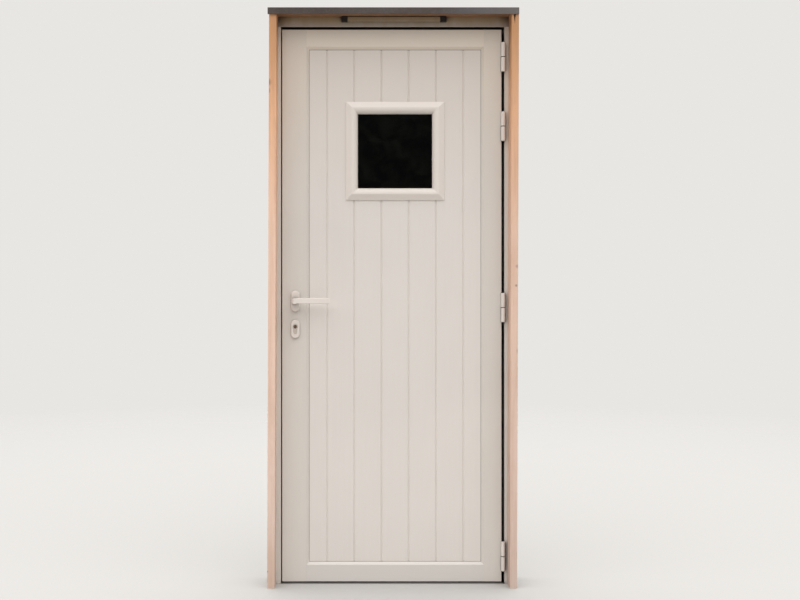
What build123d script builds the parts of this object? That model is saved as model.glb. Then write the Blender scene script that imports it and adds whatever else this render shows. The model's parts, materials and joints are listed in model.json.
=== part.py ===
from build123d import *
import math
import os

# A boarded external door: painted timber frame, outward-opening leaf with a small square window, multi-part
# lift-off hinges, lever lock, trickle vent, oak reveal boards and a folded head flashing.
# Millimetres. The origin is on the floor, in the middle of the frame's opening, at the frame's outer face.
# +X is to the right seen from outside, +Y points indoors, +Z is up.

# Leaf and the gaps around it
leaf_width = 790.0
leaf_height = 1986.0
leaf_thickness = 58.0
gap_lock = 4.0
gap_hinge = 10.5
gap_head = 10.5
gap_foot = 7.0
arris = 2.0

# Leaf frame: visible faces of the stiles and rails, and the bevel down to the boards
lock_stile_face = 87.5
hinge_stile_face = 63.5
top_rail_face = 61.0
bottom_rail_face = 60.0
bevel_width = 10.0
bevel_depth = 9.0
panel_groove = 12.0
panel_play = 1.0
tenon_length = 40.0
tenon_thickness = 16.0
tenon_shoulder = 12.0

# Boards
board_count = 7
board_pitch = 98.3
board_thickness = 14.0
vee_half_width = 4.2
vee_depth = 3.4
tongue_thickness = 4.0
tongue_length = 6.0
tongue_play = 0.3

# Window
window_x = 8.7
window_from_top = 435.7
window_sight = 268.0
glass_cover = 12.0
glass_play = 3.0
pane_thickness = 4.0
glass_cavity = 16.0
spacer_width = 9.0
spacer_inset = 1.0
tape_thickness = 2.0
tape_width = 9.0
liner_thickness = 12.0
packer_length = 50.0
packer_spread = 75.0
bead_width = 43.5
bead_outer_bevel = 21.0
bead_flat = 4.0
bead_height = 13.0
bead_edge = 3.0
bead_nose = 2.5
bead_round = 20.0

# Frame
frame_depth = 95.0
jamb_thickness = 37.0
head_thickness = 47.5
stop_width = 24.0
frame_tenon_thickness = 12.0
frame_tenon_height = 25.0
frame_tenon_width = 44.0
seal_width = 20.0
seal_thickness = 3.7
seal_edge_gap = 2.0
seal_clearance = 0.3
seal_round = 1.6
kerf_width = 3.0
kerf_depth = 7.0

# Threshold
threshold_plate = 4.0
threshold_nose = 6.0
threshold_nose_thickness = 2.0
threshold_rise = 22.0
threshold_wall = 2.5
threshold_seal_height = 9.0
threshold_seal_drop = 3.0

# Oak reveal boards and the flashing
trim_thickness = 26.0
trim_depth = 68.0
trim_arris = 1.5
trim_head_thickness = 11.5
trim_head_play = 0.3
# The side boards stand a little out of plumb: the sideways shift of each one's foot and top
trim_left_shift = (-7.0, 0.0)
trim_right_shift = (-2.0, 5.0)
split_width = 11.0
split_depth = 24.0
split_height = 55.0
split_inset = 11.0
flashing_thickness = 2.0
flashing_overhang = 5.0
flashing_lip = 23.5
flashing_lip_gap = 3.0
flashing_back = 20.0
flashing_upstand = 18.0
flashing_hem = 6.0

# Trickle vent in the head
vent_x = 4.0
vent_from_head_top = 22.0
vent_slot_length = 300.0
vent_slot_height = 12.0
canopy_past_slot = 16.5
canopy_height = 20.0
canopy_depth = 13.0
canopy_wall = 2.0
canopy_round = 4.0
cap_length = 21.5
cap_overlap = 1.0
cap_plug = 4.0
vent_body_height = 30.0
vent_body_depth = 18.0
vent_body_wall = 2.0
vent_end_wall = 4.0
flap_thickness = 2.4
flap_play = 0.5
flap_pivot_r = 1.5
flap_pivot_inset = 1.5
flap_hole_inset = 1.0
flap_barrel_r = 3.0
flap_lip = 5.0

# Hinges
hinges_from_foot = [92.5, 986.0]
hinges_from_top = [349.0, 100.0]
hinge_length = 104.0
hinge_plate = 3.0
hinge_plate_width = 45.0
hinge_relief = 3.0
hinge_axis_out = 7.5
knuckle_gap = 3.0
pin_r = 4.0
pin_running = 0.05
pin_in_frame_half = 32.0
pin_in_leaf_half = 36.0
pin_end_play = 1.0
washer_r = 6.8

# Screws
screw_head_r = 4.2
screw_head_depth = 2.6
screw_shank_r = 2.0
screw_sides = 8
hinge_screw_length = 35.0
hinge_screw_spread = 37.0
hinge_screw_rows = [15.0, 33.0]
lock_screw_length = 30.0

# Lock, lever and cylinder
spindle_z = 1016.0
backset = 48.0
cylinder_drop = 92.0
faceplate_width = 20.0
faceplate_length = 235.0
faceplate_thickness = 3.0
faceplate_screw_inset = 9.0
case_depth = 75.0
case_height = 205.0
case_thickness = 16.0
case_wall = 1.5
case_play = 0.2
lock_middle_drop = 45.0
follower_r = 11.0
follower_boss_r = 8.0
follower_side_play = 0.2
follower_arm_reach = 16.0
follower_arm_width = 8.0
square_side = 8.0
running = 0.05
latch_rise = 28.0
latch_height = 18.0
latch_thickness = 12.4
latch_reach = 10.0
latch_head_length = 26.0
latch_bevel = 8.0
latch_tail_height = 8.0
latch_tail_thickness = 6.0
latch_tail_width = 6.0
latch_drive_gap = 0.4
latch_drop_clear = 1.0
bolt_drop = 54.0
bolt_height = 28.0
bolt_thickness = 12.4
bolt_length = 46.0
bolt_travel = 20.0
bolt_recess = 0.3
bolt_guide = 0.3
bolt_chamfer = 1.0
cylinder_r = 8.5
cylinder_total = 33.0
cylinder_stem = 10.0
cylinder_proud = 1.5
cylinder_hole_play = 0.6
plug_r = 6.5
cam_width = 9.6
cam_side_play = 0.2
cam_hub_r = 8.3
cam_r = 14.5
cam_tooth_width = 7.0
cam_play = 1.2
keyway_width = 2.2
keyway_height = 8.5
keyway_depth = 24.0
cylinder_screw_r = 2.5
cylinder_screw_head_r = 4.0
cylinder_screw_head = 2.4
rose_width = 32.0
rose_height = 76.0
rose_thickness = 9.0
rose_chamfer = 2.5
escutcheon_height = 66.0
escutcheon_drop = 8.5
spindle_hole_r = 11.5
lever_neck_r = 10.5
lever_bar_height = 19.0
lever_reach = 126.5
lever_end_slant = 4.5
lever_projection = 57.0
lever_bar_thickness = 12.0
lever_corner_outer = 15.0
lever_leaf_gap = 1.0
lever_socket_depth = 40.0
lever_end_round = 3.0
lever_edge_round = 2.0

# Strike plate in the lock-side jamb
strike_width = 34.0
strike_length = 180.0
strike_thickness = 3.0
strike_round = 4.0
strike_play = 1.0
strike_screw_inset = 9.0
pocket_extra = 2.0

# Frame fixings, two patterns in each jamb
fixing_y = 51.0
fixing_r = 4.0
fixing_low = (300.0, 700.0)
fixing_from_head = (703.5, 223.5)

# Places worked out from the sizes above
opening_width = gap_lock + leaf_width + gap_hinge
opening_left = -opening_width / 2
opening_right = opening_width / 2
leaf_left = opening_left + gap_lock
leaf_right = opening_right - gap_hinge
leaf_bottom = gap_foot
leaf_top = leaf_bottom + leaf_height
head_underside = leaf_top + gap_head
head_top = head_underside + head_thickness
vent_z = head_top - vent_from_head_top
canopy_length = vent_slot_length + 2 * canopy_past_slot
fixing_high = tuple(head_underside - down for down in fixing_from_head)
frame_left = opening_left - jamb_thickness
frame_right = opening_right + jamb_thickness
stop_face = leaf_thickness + seal_clearance + seal_thickness
middle_y = leaf_thickness / 2
board_face = bevel_depth
core_front = board_face + board_thickness

face_left = leaf_left + lock_stile_face
face_right = leaf_right - hinge_stile_face
face_bottom = leaf_bottom + bottom_rail_face
face_top = leaf_top - top_rail_face
panel_left = face_left + bevel_width
panel_right = face_right - bevel_width
panel_bottom = face_bottom + bevel_width
panel_top = face_top - bevel_width
groove_left = panel_left - panel_groove
groove_right = panel_right + panel_groove
groove_bottom = panel_bottom - panel_groove
groove_top = panel_top + panel_groove

window_z = leaf_top - window_from_top
half_sight = window_sight / 2
glass_half = half_sight + glass_cover
liner_inner = glass_half + glass_play
liner_outer = liner_inner + liner_thickness
glass_front = middle_y - glass_cavity / 2 - pane_thickness
glass_back = middle_y + glass_cavity / 2 + pane_thickness
tape_front = glass_front - tape_thickness

hinge_heights = [leaf_bottom + up for up in hinges_from_foot]
hinge_heights += [leaf_top - down for down in hinges_from_top]
hinge_axis_x = leaf_right + gap_hinge / 2
hinge_axis_y = -hinge_axis_out
knuckle_r = gap_hinge / 2 + hinge_plate
knuckle_length = (hinge_length - knuckle_gap) / 2

spindle_x = leaf_left + backset
cylinder_z = spindle_z - cylinder_drop
case_left = leaf_left + faceplate_thickness
lock_middle = spindle_z - lock_middle_drop
case_z = (lock_middle - case_height / 2, lock_middle + case_height / 2)
latch_z = spindle_z + latch_rise
bolt_z = spindle_z - bolt_drop
cylinder_screw_z = cylinder_z - cylinder_total + cylinder_r + cylinder_screw_r * 2


def block(x, y, z):
    """A box between three (low, high) pairs."""
    size = Box(x[1] - x[0], y[1] - y[0], z[1] - z[0])
    return Pos((x[0] + x[1]) / 2, (y[0] + y[1]) / 2, (z[0] + z[1]) / 2) * size


def about(middle, size):
    """The (low, high) pair of a size centred on a place."""
    return (middle - size / 2, middle + size / 2)


def outline(points):
    return make_face(Polyline(*points, close=True))


def prism_x(points, x):
    """A (y, z) outline drawn along X."""
    return extrude(Plane.YZ.offset(x[0]) * outline(points), x[1] - x[0])


def prism_y(points, y):
    """An (x, z) outline drawn along Y."""
    return extrude(Plane.XZ.offset(-y[1]) * outline(points), y[1] - y[0])


def prism_z(points, z):
    """An (x, y) outline drawn along Z."""
    return extrude(Plane.XY.offset(z[0]) * outline(points), z[1] - z[0])


def rod_x(radius, x, y, z):
    return Pos((x[0] + x[1]) / 2, y, z) * Rot(0, 90, 0) * Cylinder(radius, x[1] - x[0])


def rod_y(radius, x, y, z):
    return Pos(x, (y[0] + y[1]) / 2, z) * Rot(90, 0, 0) * Cylinder(radius, y[1] - y[0])


def rod_z(radius, x, y, z):
    return Pos(x, y, (z[0] + z[1]) / 2) * Cylinder(radius, z[1] - z[0])


def group(shapes):
    """Separate solids kept in one node."""
    return Compound([solid for shape in shapes for solid in shape.solids()])


def indoors(shape):
    """The same piece on the leaf's inner side."""
    return mirror(shape, Plane.XZ.offset(-middle_y))


def upright_edges(shape, x, y):
    """The vertical edges of a shape at one place in plan."""
    near = 0.01
    edges = shape.edges().filter_by(Axis.Z)
    edges = edges.filter_by_position(Axis.X, x - near, x + near)
    return edges.filter_by_position(Axis.Y, y - near, y + near)


def stadium_y(width, height, x, y, z):
    """An upright stadium drawn along Y."""
    slot = Pos(x, z) * SlotOverall(height, width, rotation=90)
    return extrude(Plane.XZ.offset(-y[1]) * slot, y[1] - y[0])


def screw(length):
    """A countersunk screw along +Z, with its head's face at the origin, round to within a few flats."""
    flat_share = math.cos(math.pi / screw_sides)
    slope = math.degrees(math.atan((screw_head_r - screw_shank_r) * flat_share / screw_head_depth))
    head = extrude(RegularPolygon(screw_head_r, screw_sides), screw_head_depth, taper=slope)
    shank = Plane.XY.offset(screw_head_depth) * RegularPolygon(screw_shank_r, screw_sides)
    return head + extrude(shank, length - screw_head_depth)


def screw_right(length, x, y, z):
    return Pos(x, y, z) * Rot(0, 90, 0) * screw(length)


def screw_left(length, x, y, z):
    return Pos(x, y, z) * Rot(0, -90, 0) * screw(length)


# Leaf frame

def tenon(x, z):
    return block(x, about(middle_y, tenon_thickness), z)


def rail_tenons(z):
    left = tenon((face_left - tenon_length, face_left), z)
    right = tenon((face_right, face_right + tenon_length), z)
    return left + right


bottom_tenons = rail_tenons((leaf_bottom + tenon_shoulder, groove_bottom - tenon_shoulder / 2))
top_tenons = rail_tenons((groove_top + tenon_shoulder / 2, leaf_top - tenon_shoulder))


def bevel_points(face, edge):
    """The two triangles that bevel a stile or rail down to its panel, outside and inside."""
    outer = [(face, 0), (edge, 0), (edge, bevel_depth)]
    inner = [(a, leaf_thickness - y) for a, y in outer]
    return outer, inner


def panel_groove_cut():
    return block(
        (groove_left, groove_right),
        (board_face, leaf_thickness - board_face),
        (groove_bottom, groove_top),
    )


def stile(side, face, panel):
    """A full-height stile; side is its outer edge, face and panel are the two edges of its bevel."""
    region = [
        (side, leaf_bottom),
        (face, leaf_bottom),
        (face, face_bottom),
        (panel, panel_bottom),
        (panel, panel_top),
        (face, face_top),
        (face, leaf_top),
        (side, leaf_top),
    ]
    piece = prism_y(region, (0, leaf_thickness))
    for triangle in bevel_points(face, panel):
        piece -= prism_z(triangle, (leaf_bottom, leaf_top))
    piece -= panel_groove_cut()
    edges = upright_edges(piece, side, 0) + upright_edges(piece, side, leaf_thickness)
    return fillet(edges, arris)


def rail(side, face, panel):
    """A rail between the stiles, mitred into their bevels."""
    region = [
        (face_left, side),
        (face_right, side),
        (face_right, face),
        (panel_right, panel),
        (panel_left, panel),
        (face_left, face),
    ]
    piece = prism_y(region, (0, leaf_thickness))
    for triangle in bevel_points(face, panel):
        piece -= prism_x([(y, z) for z, y in triangle], (face_left, face_right))
    return piece - panel_groove_cut()


# Boards

def board_edges():
    """The left and right edges of the boards; the outermost two take up what the pitch leaves."""
    inner = (board_count - 2) * board_pitch
    side = (panel_right - panel_left - inner) / 2
    joints = [panel_left + side + i * board_pitch for i in range(board_count - 1)]
    marks = [panel_left] + joints + [panel_right]
    return list(zip(marks, marks[1:]))


def board(index, left, right):
    """A tongued and grooved board with a vee at each joint."""
    front = board_face
    back = board_face + board_thickness
    tongue_front = (front + back - tongue_thickness) / 2
    tongue_back = tongue_front + tongue_thickness
    slot_front = tongue_front - tongue_play
    slot_back = tongue_back + tongue_play
    slot = left + tongue_length + tongue_play
    if index == 0:
        left_side = [(groove_left + panel_play, back), (groove_left + panel_play, front)]
    else:
        left_side = [
            (left, back),
            (left, slot_back),
            (slot, slot_back),
            (slot, slot_front),
            (left, slot_front),
            (left, front + vee_depth),
            (left + vee_half_width, front),
        ]
    if index == board_count - 1:
        right_side = [(groove_right - panel_play, front), (groove_right - panel_play, back)]
    else:
        right_side = [
            (right - vee_half_width, front),
            (right, front + vee_depth),
            (right, tongue_front),
            (right + tongue_length, tongue_front),
            (right + tongue_length, tongue_back),
            (right, tongue_back),
            (right, back),
        ]
    return prism_z(left_side + right_side, (groove_bottom + panel_play, groove_top - panel_play))


window_cut = block(
    about(window_x, 2 * liner_outer),
    (0, leaf_thickness),
    about(window_z, 2 * liner_outer),
)


# Window

def window_ring(outer, inner, y):
    """A square ring about the window's middle; outer and inner are half sizes."""
    ring = block((-outer, outer), y, (-outer, outer)) - block((-inner, inner), y, (-inner, inner))
    return Pos(window_x, 0, window_z) * ring


def window_liner():
    """Two uprights with two cross pieces between them."""
    y = (board_face, leaf_thickness - board_face)
    ends = [(-liner_outer, -liner_inner), (liner_inner, liner_outer)]
    uprights = [block(x, y, (-liner_outer, liner_outer)) for x in ends]
    crosses = [block((-liner_inner, liner_inner), y, z) for z in ends]
    return group([Pos(window_x, 0, window_z) * piece for piece in uprights + crosses])


def window_bead():
    """One mitred side of the outer moulding, below the glass, about the window's middle."""
    reach = half_sight + bead_width
    ridge = board_face - bead_height
    nose = (tape_front - bead_nose, 0)
    crest = (ridge, bead_width - bead_outer_bevel - bead_flat)
    profile = [
        crest,
        (ridge, bead_width - bead_outer_bevel),
        (board_face - bead_edge, bead_width),
        (board_face, bead_width),
        (board_face, liner_inner - half_sight),
        (tape_front, liner_inner - half_sight),
        (tape_front, 0),
        nose,
    ]
    ovolo = RadiusArc(nose, crest, bead_round)
    section = Pos(0, -half_sight) * mirror(make_face(Polyline(*profile) + ovolo), Plane.XZ)
    length = extrude(Plane.YZ.offset(-reach) * section, 2 * reach)
    mitre = [(-half_sight, -half_sight), (half_sight, -half_sight), (reach, -reach), (-reach, -reach)]
    return length & prism_y(mitre, (-leaf_thickness, leaf_thickness))


def outer_beads():
    side = window_bead()
    return group([Pos(window_x, 0, window_z) * Rot(0, turn, 0) * side for turn in (0, 90, 180, 270)])


def glazing_packers():
    z = (window_z - liner_inner, window_z - glass_half)
    places = [window_x - packer_spread, window_x + packer_spread]
    return group([block(about(x, packer_length), (glass_front, glass_back), z) for x in places])


# Hinges

def hinge_screws(side, centre):
    """Three screws through a hinge plate: side is +1 into the jamb and -1 into the leaf."""
    made = []
    for index, drop in enumerate((-hinge_screw_spread, 0, hinge_screw_spread)):
        y = hinge_screw_rows[index % 2]
        if side > 0:
            made.append(screw_right(hinge_screw_length, opening_right, y, centre + drop))
        else:
            made.append(screw_left(hinge_screw_length, leaf_right, y, centre + drop))
    return made


def hinge_half(side, centre):
    """A flag plate with its knuckle: side +1 is the frame's lower half, -1 the leaf's upper half."""
    away = -side
    near = centre + away * knuckle_gap / 2
    far = near + away * knuckle_length
    knuckle_z = (min(near, far), max(near, far))
    if side > 0:
        plate_x = (opening_right, opening_right + hinge_plate)
        bore_z = (near - pin_in_frame_half, near)
    else:
        plate_x = (leaf_right - hinge_plate, leaf_right)
        bore_z = (near, near + pin_in_leaf_half + pin_end_play)
    knuckle = rod_z(knuckle_r, hinge_axis_x, hinge_axis_y, knuckle_z)
    plate = block(plate_x, (hinge_relief, hinge_plate_width), about(centre, hinge_length))
    neck = block(plate_x, (hinge_axis_y, hinge_relief), knuckle_z)
    bore_r = pin_r if side > 0 else pin_r + pin_running
    half = plate + neck + knuckle
    half -= rod_z(bore_r, hinge_axis_x, hinge_axis_y, bore_z)
    for piece in hinge_screws(side, centre):
        half -= piece
    return half


def hinge_recess(side, centre):
    """The shallow housing of a hinge plate, open at the face."""
    if side > 0:
        x = (opening_right, opening_right + hinge_plate)
    else:
        x = (leaf_right - hinge_plate, leaf_right)
    return block(x, (0, hinge_plate_width), about(centre, hinge_length))


def hinge_pin(centre):
    low = centre - knuckle_gap / 2 - pin_in_frame_half
    high = centre + knuckle_gap / 2 + pin_in_leaf_half
    return rod_z(pin_r, hinge_axis_x, hinge_axis_y, (low, high))


def hinge_washer(centre):
    z = about(centre, knuckle_gap)
    ring = rod_z(washer_r, hinge_axis_x, hinge_axis_y, z)
    return ring - rod_z(pin_r, hinge_axis_x, hinge_axis_y, z)


# Frame

def fixing_holes(side):
    """Plain holes for the frame fixings, through one jamb."""
    through = (opening_right, frame_right) if side > 0 else (frame_left, opening_left)
    cut = Part()
    for z in fixing_low + fixing_high:
        cut += rod_x(fixing_r, through, fixing_y, z)
    return cut


def jamb_tenon(side):
    middle = (side * (opening_right + frame_right)) / 2
    return block(
        about(middle, frame_tenon_thickness),
        about(frame_depth / 2, frame_tenon_width),
        (head_underside, head_underside + frame_tenon_height),
    )


def kerf(inner_half, inner_top):
    """The seal's kerf in the stops, as a U about the opening."""
    half = inner_half + kerf_width
    y = (stop_face, stop_face + kerf_depth)
    u = block((-half, half), y, (threshold_plate, inner_top + kerf_width))
    return u - block((-inner_half, inner_half), y, (0, inner_top))


seal_outer_half = opening_right - seal_edge_gap
seal_outer_top = head_underside - seal_edge_gap
kerf_half = seal_outer_half - (seal_width + kerf_width) / 2
kerf_top = seal_outer_top - (seal_width + kerf_width) / 2
seal_kerf = kerf(kerf_half, kerf_top)


def jamb(side):
    """A rebated jamb: side -1 is the lock side, +1 the hinge side."""
    face = side * opening_right
    back = side * frame_right
    stop = face - side * stop_width
    section = [
        (face, 0),
        (back, 0),
        (back, frame_depth),
        (stop, frame_depth),
        (stop, stop_face),
        (face, stop_face),
    ]
    piece = prism_z(section, (0, head_underside))
    edges = upright_edges(piece, face, 0) + upright_edges(piece, stop, frame_depth)
    edges += upright_edges(piece, stop, stop_face)
    piece = fillet(edges, arris)
    return piece + jamb_tenon(side) - seal_kerf - fixing_holes(side)


def frame_head():
    """The head runs over both jambs; its stop fits between theirs."""
    z = (head_underside, head_top)
    piece = block((frame_left, frame_right), (0, frame_depth), z)
    edge = piece.edges().filter_by(Axis.X).group_by(Axis.Z)[0].sort_by(Axis.Y)[0]
    piece = fillet(edge, arris)
    stop_half = opening_right - stop_width
    stop_z = (head_underside - stop_width, head_underside)
    piece += block((-stop_half, stop_half), (stop_face, frame_depth), stop_z)
    piece -= jamb_tenon(1) + jamb_tenon(-1)
    piece -= seal_kerf
    return piece - block(about(vent_x, vent_slot_length), (0, frame_depth), about(vent_z, vent_slot_height))


def frame_seal():
    """A compressible strip on the stops with a stem in their kerf, in one U."""
    y = (leaf_thickness + seal_clearance, stop_face)
    outer = block((-seal_outer_half, seal_outer_half), y, (threshold_plate, seal_outer_top))
    inner_half = seal_outer_half - seal_width
    inner_top = seal_outer_top - seal_width
    strip = outer - block((-inner_half, inner_half), y, (0, inner_top))
    front = strip.faces().sort_by(Axis.Y)[0]
    edges = front.edges().filter_by(Axis.Z) + front.edges().filter_by(Axis.X).sort_by(Axis.Z)[-2:]
    strip = chamfer(edges, seal_round)
    return strip + kerf(kerf_half, kerf_top)


def threshold():
    """A stepped extrusion with two hollows, notched round the jamb stops."""
    section = [
        (-threshold_nose, 0),
        (frame_depth, 0),
        (frame_depth, threshold_rise - threshold_plate),
        (frame_depth - threshold_plate, threshold_rise),
        (stop_face, threshold_rise),
        (stop_face, threshold_plate),
        (0, threshold_plate),
        (-threshold_nose, threshold_nose_thickness),
    ]
    piece = prism_x(section, (opening_left, opening_right))
    low = threshold_wall
    high = threshold_rise - threshold_plate - threshold_wall
    rib = (stop_face + frame_depth) / 2
    hollows = [
        (stop_face + threshold_wall, rib - threshold_wall / 2),
        (rib + threshold_wall / 2, frame_depth - threshold_wall),
    ]
    for y in hollows:
        piece -= block((opening_left, opening_right), y, (low, high))
    notch_y = (stop_face, frame_depth)
    for side in (-1, 1):
        ends = sorted((side * opening_right, side * (opening_right - stop_width)))
        piece -= block(ends, notch_y, (0, threshold_rise))
    return piece


def threshold_seal():
    half = opening_right - stop_width
    top = threshold_rise - threshold_seal_drop
    y = (leaf_thickness + seal_clearance, stop_face)
    strip = block((-half, half), y, (top - threshold_seal_height, top))
    edges = strip.edges().filter_by(Axis.X).group_by(Axis.Y)[0]
    return chamfer(edges, seal_round)


# Oak reveal boards and flashing

def trim(outer, inner, shift):
    """A side board between its outer and inner faces, with its foot and top shifted sideways."""
    foot, top = shift
    front_view = [
        (outer + foot, 0),
        (inner + foot, 0),
        (inner + top, head_top),
        (outer + top, head_top),
    ]
    piece = prism_y(front_view, (-trim_depth, 0))
    front = piece.faces().sort_by(Axis.Y)[0]
    return fillet(front.edges().sort_by(SortBy.LENGTH)[-2:], trim_arris)


def trim_head():
    """The board across the top, between the side boards and under the flashing."""
    left = frame_left + trim_thickness + trim_left_shift[1] + trim_head_play
    right = frame_right - trim_thickness + trim_right_shift[1] - trim_head_play
    return block((left, right), (-trim_depth, 0), (head_top - trim_head_thickness, head_top))


def trim_split():
    """The drying split at the top of the right-hand board."""
    left = frame_right - trim_thickness + trim_right_shift[1] + split_inset - split_width / 2
    tip = (left + split_width / 2, head_top - split_height)
    wedge = [(left, head_top), (left + split_width, head_top), tip]
    return prism_y(wedge, (-trim_depth, -trim_depth + split_depth))


def head_flashing():
    """A folded sheet: hemmed front lip, top over the boards and the head, and a back upstand."""
    t = flashing_thickness
    front = -trim_depth - flashing_lip_gap
    top = head_top + t
    low = top - flashing_lip
    section = [
        (front, low + flashing_hem),
        (front, head_top),
        (flashing_back, head_top),
        (flashing_back, head_top + flashing_upstand),
        (flashing_back - t, head_top + flashing_upstand),
        (flashing_back - t, top),
        (front - t, top),
        (front - t, low),
        (front + t, low),
        (front + t, low + flashing_hem),
    ]
    half = frame_right + flashing_overhang
    return prism_x(section, (-half, half))


# Trickle vent

canopy_z = about(vent_z, canopy_height)


def vent_canopy():
    """The outer hood: a back plate with the slot, and a rounded cover open below."""
    x = about(vent_x, canopy_length)
    hood = block(x, (-canopy_depth, 0), canopy_z)
    top_edge = hood.edges().filter_by(Axis.X).group_by(Axis.Z)[-1].sort_by(Axis.Y)[0]
    hood = fillet(top_edge, canopy_round)
    inside_y = (-canopy_depth + canopy_wall, -canopy_wall)
    hood -= block(x, inside_y, (canopy_z[0], canopy_z[1] - canopy_wall))
    slot = block(about(vent_x, vent_slot_length), (-canopy_wall, 0), about(vent_z, vent_slot_height))
    return hood - slot


def vent_end_caps():
    """Two moulded ends, each with a plug inside the hood."""
    made = []
    for side in (-1, 1):
        joint = vent_x + side * canopy_length / 2
        x = sorted((joint, joint + side * cap_length))
        cap = block(x, (-canopy_depth - cap_overlap, 0), canopy_z)
        edges = cap.edges().filter_by(Axis.X).group_by(Axis.Y)[0]
        cap = fillet(edges, canopy_wall)
        plug_x = sorted((joint, joint - side * cap_plug))
        plug = block(
            plug_x,
            (-canopy_depth + canopy_wall, -canopy_wall),
            (canopy_z[0] + canopy_wall, canopy_z[1] - canopy_wall),
        )
        made.append(cap + plug)
    return group(made)


vent_length = canopy_length + 2 * cap_length
vent_body_z = about(vent_z, vent_body_height)
flap_axis_y = frame_depth + vent_body_depth - flap_barrel_r - flap_play
flap_axis_z = vent_body_z[0] + vent_body_wall + flap_barrel_r + flap_play
flap_x = about(vent_x, vent_length - 2 * vent_end_wall - 2 * flap_play)


def vent_body():
    """The inner housing: a box with the slot in its back, open to the room."""
    x = about(vent_x, vent_length)
    y = (frame_depth, frame_depth + vent_body_depth)
    body = block(x, y, vent_body_z)
    inside = block(
        about(vent_x, vent_length - 2 * vent_end_wall),
        (frame_depth + vent_body_wall, y[1]),
        (vent_body_z[0] + vent_body_wall, vent_body_z[1] - vent_body_wall),
    )
    body -= inside
    body -= block(about(vent_x, vent_slot_length), y, about(vent_z, vent_slot_height))
    hole_x = (x[0] + flap_hole_inset, x[1] - flap_hole_inset)
    return body - rod_x(flap_pivot_r + running, hole_x, flap_axis_y, flap_axis_z)


def vent_flap():
    """The closing flap: a plate on a round bar with a pivot at each end and a finger lip along the top."""
    top = vent_body_z[1] - vent_body_wall - flap_play
    plate_y = (flap_axis_y + flap_barrel_r - flap_thickness, flap_axis_y + flap_barrel_r)
    plate = block(flap_x, plate_y, (flap_axis_z, top))
    lip = block(flap_x, (plate_y[0], plate_y[1] + flap_lip), (top - flap_thickness, top))
    bar = rod_x(flap_barrel_r, flap_x, flap_axis_y, flap_axis_z)
    pivots = rod_x(flap_pivot_r, about(vent_x, vent_length - 2 * flap_pivot_inset), flap_axis_y, flap_axis_z)
    return plate + lip + bar + pivots


# Lock

def cylinder_profile(extra, y):
    """The profile-cylinder outline: a round top with a straight stem below, grown by extra."""
    head = rod_y(cylinder_r + extra, spindle_x, y, cylinder_z)
    stem_low = cylinder_z - cylinder_total + cylinder_r + cylinder_stem / 2
    half = cylinder_stem / 2 + extra
    stem = block((spindle_x - half, spindle_x + half), y, (stem_low, cylinder_z))
    return head + stem + rod_y(half, spindle_x, y, stem_low)


outer_end = -rose_thickness - cylinder_proud
inner_end = leaf_thickness + rose_thickness + cylinder_proud


def cylinder_screw():
    """The long screw from the faceplate into the cylinder."""
    x = (leaf_left, spindle_x + cylinder_stem / 2)
    shank = rod_x(cylinder_screw_r, x, middle_y, cylinder_screw_z)
    head_x = (leaf_left, leaf_left + cylinder_screw_head)
    return shank + rod_x(cylinder_screw_head_r, head_x, middle_y, cylinder_screw_z)


def cylinder_body():
    """The fixed part of the cylinder, parted in the middle for the cam."""
    body = cylinder_profile(0, (outer_end, inner_end))
    body -= rod_y(plug_r + running, spindle_x, (outer_end, inner_end), cylinder_z)
    slot_y = about(middle_y, cam_width + 2 * cam_side_play)
    slot_low = cylinder_z - cam_r - cam_play / 2
    body -= block(about(spindle_x, 2 * cam_r), slot_y, (slot_low, cylinder_z + cam_r))
    return body - cylinder_screw()


def cylinder_plug():
    """The turning plug with a keyway in each end and the cam in the middle, its tooth down."""
    plug = rod_y(plug_r, spindle_x, (outer_end, inner_end), cylinder_z)
    cam_y = about(middle_y, cam_width)
    plug += rod_y(cam_hub_r, spindle_x, cam_y, cylinder_z)
    tooth = block(about(spindle_x, cam_tooth_width), cam_y, (cylinder_z - cam_r, cylinder_z))
    plug += tooth & rod_y(cam_r, spindle_x, cam_y, cylinder_z)
    for ends in ((outer_end, outer_end + keyway_depth), (inner_end - keyway_depth, inner_end)):
        top = cylinder_z + keyway_height / 2
        plug -= block(about(spindle_x, keyway_width), ends, (top - keyway_height, top))
    return plug


def faceplate_screws():
    places = about(lock_middle, faceplate_length - 2 * faceplate_screw_inset)
    return [screw_right(lock_screw_length, leaf_left, middle_y, z) for z in places]


def bolt_window(x, play):
    """The two openings that the latch and the bolt pass through, with play all round."""
    latch_size = (latch_thickness + 2 * play, latch_height + 2 * play)
    bolt_size = (bolt_thickness + 2 * play, bolt_height + 2 * play)
    latch = block(x, about(middle_y, latch_size[0]), about(latch_z, latch_size[1]))
    return latch + block(x, about(middle_y, bolt_size[0]), about(bolt_z, bolt_size[1]))


def lock_faceplate():
    """The forend strip with round ends, holed for the latch, the bolt and the screws."""
    strip = Pos(middle_y, lock_middle) * SlotOverall(faceplate_length, faceplate_width, rotation=90)
    plate = extrude(Plane.YZ.offset(leaf_left) * strip, faceplate_thickness)
    through = (leaf_left, case_left)
    plate -= bolt_window(through, bolt_guide)
    plate -= cylinder_screw()
    for piece in faceplate_screws():
        plate -= piece
    return plate


def lock_case():
    """The pressed case behind the faceplate, open towards it."""
    x = (case_left, leaf_left + case_depth)
    case = block(x, about(middle_y, case_thickness), case_z)
    case -= block(
        (case_left, x[1] - case_wall),
        about(middle_y, case_thickness - 2 * case_wall),
        (case_z[0] + case_wall, case_z[1] - case_wall),
    )
    sides = about(middle_y, case_thickness)
    case -= rod_y(follower_boss_r + running, spindle_x, sides, spindle_z)
    return case - cylinder_profile(case_play, sides)


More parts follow.
